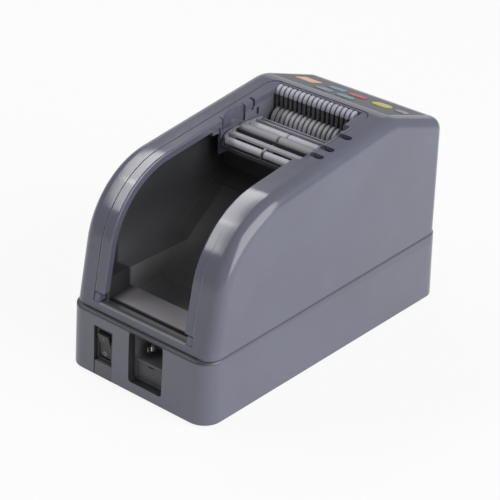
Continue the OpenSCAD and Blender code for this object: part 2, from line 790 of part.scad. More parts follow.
module key_switches() {
    body_h = switch_h - 0.6;
    color(black) on_panel() for (k = keys) translate([k[0][0], k[0][1], board_top + fit_gap]) {
        translate([-3, -3, 0]) cube([6, 6, body_h]);
        cylinder(r = 1.7, h = switch_h - fit_gap);
    }
}
module key_cap(at, size, tint) {
    color(tint) on_panel() translate([at[0], at[1], 0]) {
        translate([0, 0, flange_top - flange_t]) linear_extrude(key_proud - flange_top + flange_t)
            rounded_rect(size - 2 * [key_gap, key_gap], min(size) * 0.35 - key_gap);
        translate([0, 0, flange_top - flange_t]) linear_extrude(flange_t)
            rounded_rect(size + [1.6, 1.6], min(size) * 0.35);
        translate([0, 0, stem_low]) cylinder(r = 1.5, h = stem_len + 0.5);
    }
}
module key_teal_rear() {
    key_cap(key_teal_rear_at, wide_key, [0.45, 0.60, 0.66]);
}
module key_teal_left() {
    key_cap(key_teal_left_at, wide_key, [0.50, 0.60, 0.68]);
}
module key_teal_right() {
    key_cap(key_teal_right_at, wide_key, [0.40, 0.58, 0.60]);
}
module key_red() {
    key_cap(key_red_at, wide_key, [0.72, 0.36, 0.42]);
}
module key_yellow() {
    key_cap(key_yellow_at, round_key, [0.78, 0.76, 0.38]);
}
module key_pale() {
    key_cap(key_pale_at, small_key, [0.66, 0.62, 0.72]);
}

// comb: curved fingers on a bar over the ring roller
module along_comb() {
    for (i = [0:finger_count - 1])
        translate([comb_mid + finger_pitch * (i - (finger_count - 1) / 2), 0, 0]) children();
}
module comb_guard() {
    bar_y = [finger_mid[0] - 1.5, lip_y[0] - 0.3];
    bar_z = [finger_mid[1] - 0.2, finger_mid[1] + 4.2];
    color([0.55, 0.55, 0.60]) {
        box(comb_x, bar_y, bar_z);
        along_comb() span(-finger_w / 2, finger_w / 2) difference() {
            intersection() {
                translate(finger_mid) circle(finger_r);
                translate(finger_mid - [finger_r, 0]) square([finger_r, finger_r]);
            }
            translate(finger_mid) circle(finger_r - finger_t);
        }
    }
}
// stripper: straight dark fingers under the comb, their thin ends between the rings
module stripper_fingers() {
    bar_z = [stripper_top - 5, stripper_top - 1];
    waist = ring_at[1] + ring_r + 1;
    color(dark_grey) {
        box(comb_x, [stripper_y[1] - 0.2, lip_y[0] - 0.3], bar_z);
        along_comb() {
            box([-stripper_w[0] / 2, stripper_w[0] / 2], stripper_y, [waist, stripper_top]);
            box([-stripper_w[1] / 2, stripper_w[1] / 2], stripper_y, [stripper_low, waist + 1]);
        }
    }
}

// gears with involute flanks and a little backlash
function involute(a) = tan(a) * 180 / PI - a;
function flank(teeth, r) =
    let (pitch_r = teeth * gear_m / 2, base_r = pitch_r * cos(20))
    90 / teeth - 0.07 / pitch_r * 180 / PI + involute(20) - involute(acos(min(1, base_r / r)));
function gear_points(teeth) =
    let (root = gear_m * (teeth / 2 - 1.25), tip = gear_m * (teeth / 2 + 0.95),
        base_r = teeth * gear_m / 2 * cos(20))
    [for (t = [0:teeth - 1], side = [-1, 1], k = [0:3])
        let (r = root + (tip - root) * (side < 0 ? k : 3 - k) / 3)
        r * unit(360 * t / teeth + side * flank(teeth, max(r, base_r)))];
module gear(x0, at, teeth, phase, bore) {
    web_r = teeth * gear_m / 2 - 3.2;
    span(x0, x0 + gear_w) translate(at) rotate(phase) difference() {
        polygon(gear_points(teeth));
        if (bore > 0) circle(bore);
        if (web_r > 9) for (a = [0:60:300])
            rotate(a) translate([(web_r + 5) / 2, 0]) circle((web_r - 6) / 2.6);
    }
}
module ring_gear() {
    color(white_gear) gear(gear_in, ring_at, roller_teeth, 270 + 180 / roller_teeth, shaft_r + fit_gap);
}
module drive_gear() {
    color(white_gear) gear(gear_in, drive_at, roller_teeth, 90, shaft_r + fit_gap);
}
module feed_gear() {
    color(white_gear) gear(gear_out, drive_at, feed_teeth, -90, shaft_r + fit_gap);
}
module cutter_gear() {
    color(white_gear) gear(-gear_in - gear_w - 1.4, cutter_at, cutter_teeth, -90, shaft_r + fit_gap);
}
module feed_pinion() {
    color(brass) {
        gear(gear_out, feed_motor_at, pinion_teeth, 90 + 180 / pinion_teeth, 0);
        rod([frame_in - 14, gear_out + 1], feed_motor_at, 2);
    }
}
module cutter_pinion() {
    color(brass) {
        gear(-gear_in - gear_w - 1.4, cutter_motor_at, pinion_teeth, 90 + 180 / pinion_teeth, 0);
        rod([-gear_in - 2, 14 - frame_in], cutter_motor_at, 2);
    }
}
module motor(at) {
    face = frame_in - 0.3;
    difference() {
        union() {
            rod([face - 24, face], at, motor_r);
            rod([face - 56, face - 23], at, motor_r - 1.6);
            rod([face - 59, face - 55], at, 5);
            rod([face - 1, face + frame_t + 0.6], at, 5);
        }
        rod([face - 15, face + 10], at, 2 + run_gap);
    }
}
module feed_motor() {
    color(steel) motor(feed_motor_at);
}
module cutter_motor() {
    color(steel) mirror([1, 0, 0]) motor(cutter_motor_at);
}

// feed rollers
module ring_roller_shaft() {
    color(steel) {
        rod([-frame_in - 2.4, gear_in + gear_w], ring_at, shaft_r);
        rod([-roller_half, roller_half], ring_at, core_r);
    }
}
module ring_roller_rings() {
    color(dark_grey) for (i = [0:finger_count - 2]) {
        x = comb_mid + finger_pitch * (i - (finger_count - 2) / 2);
        span(x - ring_w / 2, x + ring_w / 2) translate(ring_at) difference() {
            circle(ring_r);
            circle(core_r + fit_gap);
        }
    }
}
module drive_roller_shaft() {
    color(steel) rod([-frame_in - 2.4, gear_out + gear_w + 0.4], drive_at, shaft_r);
}
module drive_roller_sleeve() {
    grooves = finger_count - 1;
    color(black) difference() {
        rod([-roller_half, roller_half], drive_at, sleeve_r);
        rod([-far, far], drive_at, shaft_r + fit_gap);
        for (i = [0:grooves - 2]) {
            x = finger_pitch * (i - (grooves - 2) / 2);
            span(x - 0.5, x + 0.5) translate(drive_at) difference() {
                circle(sleeve_r + 1);
                circle(sleeve_r - 0.8);
            }
        }
    }
}
module shaft_bushes() {
    color(brass) for (at = [ring_at, drive_at, cutter_at]) both_sides() difference() {
        union() {
            rod([frame_in - 0.8, frame_in - 0.08], at, bush_r + 1.2);
            rod([frame_in - 0.8, frame_in + frame_t + 0.2], at, bush_r);
        }
        rod([0, far], at, shaft_r + run_gap);
    }
}

// side frames
module side_plate(motor_at) {
    span(frame_in, frame_in + frame_t) difference() {
        polygon([[feed_y - 13, frame_foot], [front_y - 10.3, frame_foot], [front_y - 10.3, tape_z - 2.6],
            [front_y - 18.3, tape_z + 4.4], [feed_y + 17, tape_z + 4.4], [feed_y + 11, ring_at[1] + 6.2],
            [feed_y - 11, ring_at[1] + 6.2], [feed_y - 13, tape_z - 2.6]]);
        for (at = [ring_at, drive_at, cutter_at]) translate(at) circle(bush_r + fit_gap);
        translate(motor_at) circle(5.3);
        for (at = spacers_at) translate(at) circle(1.6);
        translate([frame_mid, base_h - 9]) rounded_rect([22, 22], 5);
        translate([frame_mid, tape_z - 34.6]) rounded_rect([10, 30], 4);
    }
    difference() {
        for (y = frame_feet_y)
            box([frame_in, frame_foot_x + 4.5], [y - 6, y + 6], [frame_foot, frame_foot + frame_t]);
        for (y = frame_feet_y) translate([frame_foot_x, y, 0]) cylinder(r = 1.6, h = far);
    }
}
module side_frame_right() {
    color(steel) side_plate(feed_motor_at);
}
module side_frame_left() {
    color(steel) mirror([1, 0, 0]) side_plate(cutter_motor_at);
}
module frame_spacers() {
    color(steel) for (at = spacers_at) rod([fit_gap - frame_in, frame_in - fit_gap], at, 3);
}

// roller carriage: two end plates, a middle web, cross bars; it tips on two pivots
module carriage_plate() {
    polygon([[-14.9, -4.7], [-14.5, -1.9], [-11, 3.3], [-8.1, 4.7], [-1.5, 5.7], [8.5, 6.1],
        [18.5, 5.7], plate_tip + [0, 2.4], plate_tip, plate_low, [-1.5, -4.7]]);
}
module carriage_bores(r) {
    for (at = [front_roller_at, middle_roller_at, rear_roller_at]) translate(at) circle(r);
}
module roller_carriage() {
    inner = plate_out - plate_t;
    color([0.60, 0.60, 0.63]) {
        both_sides() span(inner, plate_out) translate(carriage_at) difference() {
            carriage_plate();
            carriage_bores(journal_r + run_gap);
        }
        span(-web_half, web_half) translate(carriage_at) difference() {
            intersection() {
                carriage_plate();
                translate([-30, -10]) square([60, 13.7]);
            }
            carriage_bores(journal_r + run_gap);
        }
        both_sides() rod([plate_out - 0.5, cheek_in + cheek_t], carriage_at, pivot_r);
        span(-inner - 0.2, inner + 0.2) translate(carriage_at) {
            translate(plate_tip + [-1.5, 0.3]) square([1.3, 1.6]);
            translate(plate_tip + [-6.1, 0.9]) square([1.6, 1.6]);
            translate([-1.5, -3.5]) square([1.2, 9]);
            polygon([[-8.7, 3.3], [-5.2, 3.9], [-5.2, 5.1], [-8.1, 4.6]]);
            translate([-14.7, -4.5]) square([1.2, 2.4]);
            polygon([[-1.5, -4.7], plate_low, plate_low + [0, 1.2], [-1.5, -3.5]]);
        }
    }
}
module guide_roller(at, r) {
    end = plate_out - plate_t - 0.4;
    place = carriage_at + at;
    rod([-plate_out, plate_out], place, journal_r);
    both_sides() rod([web_half + 0.4, end], place, r);
}
module front_guide_roller() {
    color(steel) guide_roller(front_roller_at, small_roller_r);
}
module middle_guide_roller() {
    color(steel) guide_roller(middle_roller_at, guide_r);
}
module rear_guide_roller() {
    color(steel) guide_roller(rear_roller_at, small_roller_r - 0.6);
}

// guides and cutter
module lower_guide() {
    color(steel) span(fit_gap - frame_in, frame_in - fit_gap)
        polygon([[feed_y + 10.8, tape_z - 5.2], [feed_y + 11.8, tape_z - 5.2], [feed_y + 13, tape_z - 3],
            [cutter_at[0] - 9, tape_z - 3], [cutter_at[0] - 9, tape_z - 1.8], [feed_y + 12.6, tape_z - 1.8]]);
}
module upper_guide() {
    color(steel) span(fit_gap - frame_in, frame_in - fit_gap)
        polygon([[feed_y + 13, tape_z + 5], [feed_y + 17, tape_z + 2], [cutter_at[0] - 1.6, tape_z + 2],
            [cutter_at[0] - 1.6, tape_z + 3.2], [feed_y + 17.6, tape_z + 3.2], [feed_y + 14, tape_z + 5.8]]);
}
module fixed_blade() {
    y = cutter_at[0] + 0.2;
    color(steel) span(-blade_half, blade_half)
        polygon([[y, tape_z], [y + 1.6, tape_z + 1], [y + 1.6, tape_z + 5], [y, tape_z + 5]]);
}
module blade_bar() {
    y = cutter_at[0] + 1.8 + fit_gap;
    color(steel) difference() {
        box([fit_gap - frame_in, frame_in - fit_gap], [y, y + 5], [tape_z + 1, tape_z + 4.4]);
        for (x = [8 - blade_half, 0, blade_half - 8])
            translate([x, 0, tape_z + 2.7]) rotate([-90, 0, 0]) cylinder(r = 1.2, h = far);
    }
}
module blade_shaft() {
    color(steel) rod([-gear_in - gear_w - 1.6, frame_in + 2.4], cutter_at, shaft_r);
}
module rotary_blade() {
    color(steel) difference() {
        union() {
            rod([1 - blade_half, blade_half - 1], cutter_at, 6.5);
            span(1 - blade_half, blade_half - 1) translate(cutter_at)
                polygon([[-1.6, -3.6], [1.6, -3.6], [1.6, 2 - blade_reach], [0.6, 0.1 - blade_reach],
                    [-0.2, 0.1 - blade_reach], [-1.6, 2 - blade_reach]]);
        }
        rod([-far, far], cutter_at, shaft_r + fit_gap);
    }
}
module exit_plate() {
    front = front_face_y(tape_z) - wall - 0.6;
    color(steel) {
        y = cutter_at[0] + 10.5;
        box([fit_gap - frame_in, frame_in - fit_gap], [y, y + 6.5], [tape_z - 3.4, tape_z - 2.2]);
        box([-mouth_half + 0.5, mouth_half - 0.5], [y + 5.5, front], [tape_z - 3.4, tape_z - 2.2]);
    }
}
module exit_sensor() {
    color(black) difference() {
        y = cutter_at[0] + 11.5;
        box([-4, 4], [y, y + 7.5], [tape_z - 9.4, tape_z - 3.4 - fit_gap]);
        box([-1.5, 1.5], [y + 2, y + 5.5], [tape_z - 5, far]);
    }
}

// front guard: a plate with the outlet slot, hinged above the mouth
module front_guard() {
    face = guard_at[0] - 1;
    color(dark_grey) difference() {
        span(-guard_half, guard_half) {
            translate(guard_at) circle(barrel_r);
            translate([face, guard_low]) square([2, guard_z - guard_low]);
        }
        rod([-far, far], guard_at, 1 + run_gap);
        box([2 - mouth_half, mouth_half - 2], [face - 1, far], [tape_z - 3, tape_z + 3.6]);
    }
}
module guard_pins() {
    color(steel) both_sides() rod([guard_half - 10, guard_half + 2.2], guard_at, 1);
}

// power supply on the base's posts
module power_board() {
    color(board_green) difference() {
        box([-supply_half, supply_half], [supply_y, supply_y + supply_len],
            [supply_z + fit_gap, supply_z + board_t]);
        supply_posts() cylinder(r = 1.2, h = far);
    }
}
module power_transformer() {
    z = supply_z + board_t + fit_gap;
    color([0.75, 0.65, 0.30]) translate([transformer_at[0], transformer_at[1], z]) {
        for (low = [0, bobbin[2] + core[2] - 1]) translate([-bobbin[0] / 2, -bobbin[1] / 2, low])
            cube(bobbin);
        translate([-core[0] / 2, -core[1] / 2, bobbin[2] - 0.5]) cube(core);
    }
}
module board_capacitors() {
    z = supply_z + board_t + fit_gap;
    color([0.15, 0.15, 0.30]) for (i = [-1:1])
        translate([capacitor_x, transformer_at[1] + i * capacitor_pitch, z])
            cylinder(r = capacitor_r, h = capacitor_h);
}

raised() base_tray();
raised() switch_slot_plate();
raised() rubber_feet();
raised() base_screws();
raised() upper_housing();
raised() rim_frame();
raised() well_tub();
raised() switch_body();
raised() switch_rocker();
raised() switch_terminals();
raised() inlet_body();
raised() inlet_pins();
raised() fuse_drawer();
raised() control_overlay();
raised() display_window();
raised() display_module();
raised() control_board();
raised() key_switches();
raised() key_teal_rear();
raised() key_teal_left();
raised() key_teal_right();
raised() key_red();
raised() key_yellow();
raised() key_pale();
raised() comb_guard();
raised() stripper_fingers();
raised() ring_roller_shaft();
raised() ring_roller_rings();
raised() ring_gear();
raised() drive_roller_shaft();
raised() drive_roller_sleeve();
raised() drive_gear();
raised() feed_gear();
raised() feed_motor();
raised() feed_pinion();
raised() side_frame_left();
raised() side_frame_right();
raised() frame_spacers();
raised() shaft_bushes();
raised() roller_carriage();
raised() front_guide_roller();
raised() middle_guide_roller();
raised() rear_guide_roller();
raised() lower_guide();
raised() upper_guide();
raised() fixed_blade();
raised() blade_bar();
raised() blade_shaft();
raised() rotary_blade();
raised() cutter_gear();
raised() cutter_motor();
raised() cutter_pinion();
raised() exit_plate();
raised() exit_sensor();
raised() front_guard();
raised() guard_pins();
raised() power_board();
raised() power_transformer();
raised() board_capacitors();
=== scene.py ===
import json
import math
import bpy
from mathutils import Matrix, Vector

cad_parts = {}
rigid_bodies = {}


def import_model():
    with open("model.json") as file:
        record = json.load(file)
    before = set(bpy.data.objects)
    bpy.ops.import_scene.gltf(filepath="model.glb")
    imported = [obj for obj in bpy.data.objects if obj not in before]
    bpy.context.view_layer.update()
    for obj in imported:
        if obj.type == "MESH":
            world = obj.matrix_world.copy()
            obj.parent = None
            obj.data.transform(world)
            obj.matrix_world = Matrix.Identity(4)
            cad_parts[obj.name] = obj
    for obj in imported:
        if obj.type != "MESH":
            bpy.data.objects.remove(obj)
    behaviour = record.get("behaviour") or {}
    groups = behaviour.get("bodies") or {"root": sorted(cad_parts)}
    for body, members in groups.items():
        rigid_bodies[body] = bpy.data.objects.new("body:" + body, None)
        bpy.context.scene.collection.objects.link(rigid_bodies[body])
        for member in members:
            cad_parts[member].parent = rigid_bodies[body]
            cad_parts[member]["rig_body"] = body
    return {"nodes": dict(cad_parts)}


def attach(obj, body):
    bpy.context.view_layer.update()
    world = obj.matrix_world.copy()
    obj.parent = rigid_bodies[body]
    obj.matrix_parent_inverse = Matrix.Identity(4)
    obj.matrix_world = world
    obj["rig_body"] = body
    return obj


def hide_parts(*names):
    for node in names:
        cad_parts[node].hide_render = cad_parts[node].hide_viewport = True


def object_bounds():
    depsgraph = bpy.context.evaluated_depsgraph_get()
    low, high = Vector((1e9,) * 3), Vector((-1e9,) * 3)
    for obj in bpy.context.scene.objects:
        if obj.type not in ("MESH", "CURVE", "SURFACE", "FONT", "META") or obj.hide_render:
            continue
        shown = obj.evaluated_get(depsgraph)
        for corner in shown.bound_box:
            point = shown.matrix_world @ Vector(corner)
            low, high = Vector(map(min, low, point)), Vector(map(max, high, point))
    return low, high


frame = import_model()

cad_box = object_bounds()
nodes = frame["nodes"]
scene = bpy.context.scene
scene.view_settings.view_transform = "Standard"


# The studio: a long lens behind and above the machine, and white paper under it. A broad soft lamp
# stands on the right and a weak one in front. Two strip lamps overhead on the left show on the
# bend, and where the plastic mirrors the paper, it looks bright only near the machine.
view_azimuth = math.radians(38.786)
view_elevation = math.radians(27.863)
view_roll = math.radians(2.835)
view_from = Vector((0.61531, -0.77964, 0.57990))
focal_length = 128.57
film_width = 36
view_back = Vector((math.sin(view_azimuth) * math.cos(view_elevation),
                    -math.cos(view_azimuth) * math.cos(view_elevation), math.sin(view_elevation)))
level_right = Vector((math.cos(view_azimuth), math.sin(view_azimuth), 0))
level_up = view_back.cross(level_right)
view_right = math.cos(view_roll) * level_right + math.sin(view_roll) * level_up
view_up = math.cos(view_roll) * level_up - math.sin(view_roll) * level_right
view_turn = Matrix((view_right, view_up, view_back)).transposed().to_4x4()
lens = bpy.data.cameras.new("camera")
lens.lens = focal_length
lens.sensor_width = film_width
camera = bpy.data.objects.new("camera", lens)
camera.matrix_world = Matrix.Translation(view_from) @ view_turn
scene.collection.objects.link(camera)
scene.camera = camera


def lamp(name, place, aim, size, power, roll=0):
    """A soft lamp that faces its aim. Its size is its width and height in metres, its power is in
    watts and its roll in degrees."""
    light = bpy.data.lights.new(name, "AREA")
    light.shape = "RECTANGLE"
    light.size, light.size_y = size
    light.energy = power
    made = bpy.data.objects.new(name, light)
    made.location = place
    made.rotation_euler = (Vector(aim) - Vector(place)).to_track_quat("-Z", "Y").to_euler()
    made.rotation_euler.rotate_axis("Z", math.radians(roll))
    scene.collection.objects.link(made)


machine_middle = (0, 0, 0.07)
lamp("side_lamp", (2.154, 0.144, 1.118), machine_middle, (2.6, 2.4), power=64.5)
lamp("front_lamp", (-0.95, 1.35, 0.50), machine_middle, (1.6, 0.8), power=1.8)
lamp("strip_lamp", (-0.918, 0.175, 1.309), (-0.014, 0.214, 0.114), (1.40, 0.30), power=7.1)
lamp("strip_lamp_rear", (-1.060, -1.008, 1.201), (-0.155, -0.969, 0.005), (1.20, 0.30),
     power=5.7, roll=-21.8)


def set_sockets(node, values):
    """Sets or links the sockets of a node."""
    for name, value in values.items():
        if isinstance(value, Shade):
            value.tree.links.new(value.socket, node.inputs[name])
        else:
            node.inputs[name].default_value = value


class Shade:
    """A value, a colour or a place in one material. Sums and products of values add Math nodes."""

    def __init__(self, tree, socket):
        self.tree = tree
        self.socket = socket

    def node(self, kind, settings=None, inputs=None, out=0):
        """One output of a new node, which gets its settings first and then its sockets."""
        made = self.tree.nodes.new("ShaderNode" + kind)
        for name, value in (settings or {}).items():
            setattr(made, name, value)
        set_sockets(made, inputs or {})
        return Shade(self.tree, made.outputs[out])

    def maths(self, operation, first, second=0.0):
        return self.node("Math", {"operation": operation}, {0: first, 1: second})

    def __add__(self, other):
        return self.maths("ADD", self, other)

    def __radd__(self, other):
        return self.maths("ADD", other, self)

    def __sub__(self, other):
        return self.maths("SUBTRACT", self, other)

    def __rsub__(self, other):
        return self.maths("SUBTRACT", other, self)

    def __mul__(self, other):
        return self.maths("MULTIPLY", self, other)

    def __rmul__(self, other):
        return self.maths("MULTIPLY", other, self)

    def larger(self, other):
        return self.maths("MAXIMUM", self, other)

    def unsigned(self):
        return self.maths("ABSOLUTE", self)

    def root(self):
        return self.maths("POWER", self, 0.5)

    def ramp(self, low, high):
        """0 below low, 1 above high, smooth between."""
        return self.node("MapRange", {"interpolation_type": "SMOOTHSTEP"}, {0: self, 1: low, 2: high})

    def between(self, low, high, soft=0.0001):
        """1 from low to high and 0 outside, with soft ends."""
        return self.ramp(low - soft, low + soft) * (1 - self.ramp(high - soft, high + soft))

    def blend(self, first, second):
        """The colour first where this value is 0 and second where it is 1. A Mix node takes its
        colours in sockets 6 and 7 and gives one in output 2."""
        return self.node("Mix", {"data_type": "RGBA"}, {0: self, 6: first, 7: second}, out=2)

    def noise(self, scale, detail=2, rough=0.5):
        """An uneven value of about one half over this place."""
        return self.node("TexNoise", None,
                         {"Vector": self, "Scale": scale, "Detail": detail, "Roughness": rough})

    def stretched(self, x, y, z):
        return self.node("Mapping", {"vector_type": "POINT"}, {"Vector": self, "Scale": (x, y, z)})

    def bump(self, strength, depth, height):
        return self.node("Bump", None, {"Strength": strength, "Distance": depth, "Height": height})

    def axis(self, name):
        """One of this place's coordinates, in metres."""
        return self.node("SeparateXYZ", None, {0: self}, out="XYZ".index(name))

    def axes(self):
        return [self.axis(name) for name in "XYZ"]


def start_material(name):
    """A new material, its shader, and the place of each point on the piece."""
    material = bpy.data.materials.new(name)
    material.use_nodes = True
    tree = material.node_tree
    place = Shade(tree, tree.nodes.new("ShaderNodeTexCoord").outputs["Object"])
    return material, tree.nodes["Principled BSDF"], place


def seen_rays(tree, sheen):
    """1 for rays from the camera and those that a clear piece sends on, sheen for those off a gloss."""
    path = tree.nodes.new("ShaderNodeLightPath")
    camera_ray, glossy, clear = (Shade(tree, path.outputs["Is %s Ray" % kind])
                                 for kind in ("Camera", "Glossy", "Transmission"))
    return camera_ray + glossy * sheen + clear


white = (1, 1, 1, 1)
ambient = 0.10
sky_sheen = 0.30
world = bpy.data.worlds.new("studio_air")
scene.world = world
world.use_nodes = True
air = world.node_tree
sky_seen = seen_rays(air, sky_sheen) * (1 - ambient) + ambient
set_sockets(air.nodes["Background"], {"Color": white, "Strength": sky_seen})

paper_width = 6
paper_colour = (0.92, 0.92, 0.92, 1)
paper_rough = 0.9
paper_glow_share = 0.9
paper_sheen = 0.70
lit_paper = (-0.240, -0.180)
bpy.ops.object.select_all(action="DESELECT")
bpy.ops.mesh.primitive_plane_add(size=paper_width)
floor = bpy.context.object
floor.name = "paper_floor"
paper, paper_shader, paper_place = start_material("white_paper")
set_sockets(paper_shader, {"Base Color": paper_colour, "Roughness": paper_rough})
paper_lit = Shade(paper.node_tree, paper_shader.outputs[0])
paper_glow = paper_place.node("Emission", None, {"Color": white, "Strength": 1.0})
paper_seen = seen_rays(paper.node_tree, paper_place.axis("Y").ramp(*lit_paper) * paper_sheen)
paper_mix = paper_place.node("MixShader", None,
                             {0: paper_seen * paper_glow_share, 1: paper_lit, 2: paper_glow})
set_sockets(paper.node_tree.nodes["Material Output"], {"Surface": paper_mix})
floor.data.materials.append(paper)


# The base: a moulded tray of grey plastic with drafted walls, and a small filler plate of much the
# same plastic that closes the slot under the mains switch. Painted shade darkens the tray's top edge
# by the seam, the walls of its rear windows and the filler's left-hand edge.
sharp_degrees = 35
edge_steps = 2
usual_edge = 0.00025
weld_gap = 0.000002
flat_degrees = 0.3


def alone(piece):
    """Selects one piece and makes it the active one."""
    bpy.ops.object.select_all(action="DESELECT")
    piece.select_set(True)
    bpy.context.view_layer.objects.active = piece


def paint(piece, material):
    piece.data.materials.clear()
    piece.data.materials.append(material)


def smoothed(piece, edge, sharp=sharp_degrees):
    """Breaks the edges of the active piece that turn more than sharp degrees, and makes its round
    stretches smooth."""
    broken = piece.modifiers.new("broken_edges", "BEVEL")
    broken.width = edge
    broken.segments = edge_steps
    broken.limit_method = "ANGLE"
    broken.angle_limit = math.radians(sharp)
    broken.use_clamp_overlap = True
    bpy.ops.object.modifier_apply(modifier=broken.name)
    bpy.ops.object.shade_smooth_by_angle(angle=math.radians(sharp))
    level = piece.modifiers.new("face_weight", "WEIGHTED_NORMAL")
    level.keep_sharp = True
    bpy.ops.object.modifier_apply(modifier=level.name)


def finished(node, name, material, edge=usual_edge, sharp=sharp_degrees):
    """A copy of a solid with its triangles joined, its edges broken and its round stretches smooth."""
    solid = nodes[node]
    piece = bpy.data.objects.new(name, solid.data.copy())
    scene.collection.objects.link(piece)
    alone(piece)
    bpy.ops.object.mode_set(mode="EDIT")
    bpy.ops.mesh.select_all(action="SELECT")
    bpy.ops.mesh.remove_doubles(threshold=weld_gap)
    bpy.ops.mesh.dissolve_limited(angle_limit=math.radians(flat_degrees))
    bpy.ops.object.mode_set(mode="OBJECT")
    smoothed(piece, edge, sharp)
    paint(piece, material)
    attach(piece, solid["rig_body"])
    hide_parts(node)


def toned(colour, times=1):
    """A colour made darker or lighter, with its alpha."""
    return (*(part * times for part in colour), 1)


noise_span = (0.3, 0.7)
melt_scale = 22
melt_tone = 0.8
melt_sheen = 0.10
skin_sheen = 0.08
skin_bump = 0.35
second_rough = 0.35


def moulded(name, colour, rough, skin=2200, depth=0.00003, drift=0.12, second=None, gloss=0.5):
    """Moulded plastic: a slow drift of tone from the melt, and the fine eroded skin of the mould.
    The pair second holds another colour and a function of the place that says where it shows."""
    material, shader, place = start_material(name)
    melt = place.noise(melt_scale, detail=3, rough=0.55)
    grain = place.noise(skin, rough=0.6)
    drifted = (melt * melt_tone + grain * (1 - melt_tone)).ramp(*noise_span)
    tone = drifted.blend(toned(colour, 1 - drift), toned(colour, 1 + drift))
    sheen = melt * melt_sheen + grain * skin_sheen + (rough - (melt_sheen + skin_sheen) / 2)
    if second:
        other, where = second
        shown = where(place)
        tone = shown.blend(tone, toned(other))
        sheen = sheen + shown * second_rough
    set_sockets(shader, {
        "Base Color": tone,
        "Roughness": sheen,
        "Normal": place.bump(skin_bump, depth, grain),
        "Specular IOR Level": gloss,
    })
    return material


body_colour = (0.135, 0.137, 0.187)
body_rough = 0.16
body_gloss = 0.75
satin_depth = 0.000003
satin_drift = 0.05


def body_plastic(name, second=None):
    """The satin grey plastic of the base, the cover and the rim."""
    return moulded(name, body_colour, body_rough, depth=satin_depth, drift=satin_drift,
                   second=second, gloss=body_gloss)


rear_face = cad_box[0][1]
# Painted shade: dark walls in the rear windows, and a dark band along the tray's top edge by the seam,
# strongest at the rear.
inlet_window = ((-0.0058, 0.0216), (0.0087, 0.0428))
switch_window = ((-0.0343, -0.0189), (0.0000, 0.0360))
window_walls = (rear_face + 0.0004, rear_face + 0.0150)
base_top = 0.0440
seam_shade_band = (base_top - 0.0022, base_top - 0.0010)
seam_shade_rear = (rear_face + 0.004, rear_face + 0.014)
seam_shade_at_rear = 0.80
seam_shade_all_round = 0.12
painted_shade_dark = (0.030, 0.030, 0.034)


def base_painted_shade(place):
    """Painted shade: 1 on the walls of the openings behind the rear face, and part of it on the top
    edge.
    """
    across, along, up = place.axes()
    inlet, switch = (across.between(*wide) * up.between(*high)
                     for wide, high in (inlet_window, switch_window))
    walls = (inlet + switch) * along.between(*window_walls)
    rear = 1 - along.ramp(*seam_shade_rear)
    painted_tone = up.ramp(*seam_shade_band) * (rear * seam_shade_at_rear + seam_shade_all_round)
    return walls.larger(painted_tone)


base_grey = body_plastic("grey_base_plastic", (painted_shade_dark, base_painted_shade))
finished("base_tray", "base_tray_moulding", base_grey)

# A painted shadow line along the seam at the filler's left-hand edge.
filler_left = -0.03385
seam_shade_edge = (filler_left + 0.0007, filler_left + 0.0011)
seam_shade_dark = (0.016, 0.016, 0.020)


def seam_painted_shade(place):
    """1 along the filler's left-hand edge: a painted shadow line in the seam."""
    return 1 - place.axis("X").ramp(*seam_shade_edge)


filler_grey = moulded("filler_plastic", (0.140, 0.136, 0.155), 0.22, depth=satin_depth,
                      drift=satin_drift, second=(seam_shade_dark, seam_painted_shade))
finished("switch_slot_plate", "switch_slot_filler", filler_grey)


# Feet of black rubber under the corners, and plated steel screws in deep wells beside them that
# hold the cover down.
line_span = (0.25, 0.75)
line_dark = 0.82
line_sheen = 0.16
polish_scale = 40
polish_sheen = 0.10
line_bump = 0.25
line_depth = 0.00002


def drawn_metal(name, colour, rough, lines=(60, 2400, 2400)):
    """Drawn or turned metal: fine lines along one axis and a slightly uneven shine."""
    material, shader, place = start_material(name)
    line = place.stretched(*lines).noise(1, detail=3, rough=0.6)
    polish = place.noise(polish_scale)
    even_rough = rough - (line_sheen + polish_sheen) / 2
    set_sockets(shader, {
        "Base Color": line.ramp(*line_span).blend(toned(colour, line_dark), toned(colour)),
        "Roughness": line * line_sheen + polish * polish_sheen + even_rough,
        "Normal": place.bump(line_bump, line_depth, line),
        "Metallic": 1.0,
    })
    return material


rubber_black = moulded("black_rubber", (0.020, 0.020, 0.021), 0.72, skin=1500, depth=0.00005)
zinc = drawn_metal("zinc_plate", (0.55, 0.55, 0.56), 0.38, lines=(900, 900, 900))
paint(nodes["rubber_feet"], rubber_black)
paint(nodes["base_screws"], zinc)


# Electrical parts inside the base: the supply board on its posts, green with lacquer, with a taped
# transformer and sleeved capacitors.
track_scale = 160
track_gap = 0.03
track_shift = 0.37
track_show = 0.5
track_pale = 2.0
track_bump = 0.4
track_depth = 0.00005
lacquer_scale = 300
lacquer_sheen = 0.2
lacquer_rough = 0.2


def circuit_board(name, colour):
    """Green lacquer over copper tracks that show as faint paler bands."""
    material, shader, place = start_material(name)
    tracks = place.node("TexBrick", {"offset": track_shift}, {
        "Vector": place,
        "Scale": track_scale,
        "Mortar Size": track_gap,
        "Color1": (0, 0, 0, 1),
        "Color2": (0.5, 0.5, 0.5, 1),
        "Mortar": white,
    })
    band = tracks.node("RGBToBW", None, {0: tracks})
    set_sockets(shader, {
        "Base Color": (band * track_show).blend(toned(colour), toned(colour, track_pale)),
        "Roughness": place.noise(lacquer_scale) * lacquer_sheen + lacquer_rough,
        "Normal": place.bump(track_bump, track_depth, band),
    })
    return material


lacquer_green = circuit_board("lacquered_board", (0.015, 0.080, 0.035))
winding_tape = moulded("winding_tape", (0.42, 0.30, 0.06), 0.45, skin=900, depth=0.00006)
sleeve_blue = moulded("capacitor_sleeve", (0.015, 0.018, 0.060), 0.30, skin=700, depth=0.00002)
paint(nodes["power_board"], lacquer_green)
paint(nodes["power_transformer"], winding_tape)
paint(nodes["board_capacitors"], sleeve_blue)


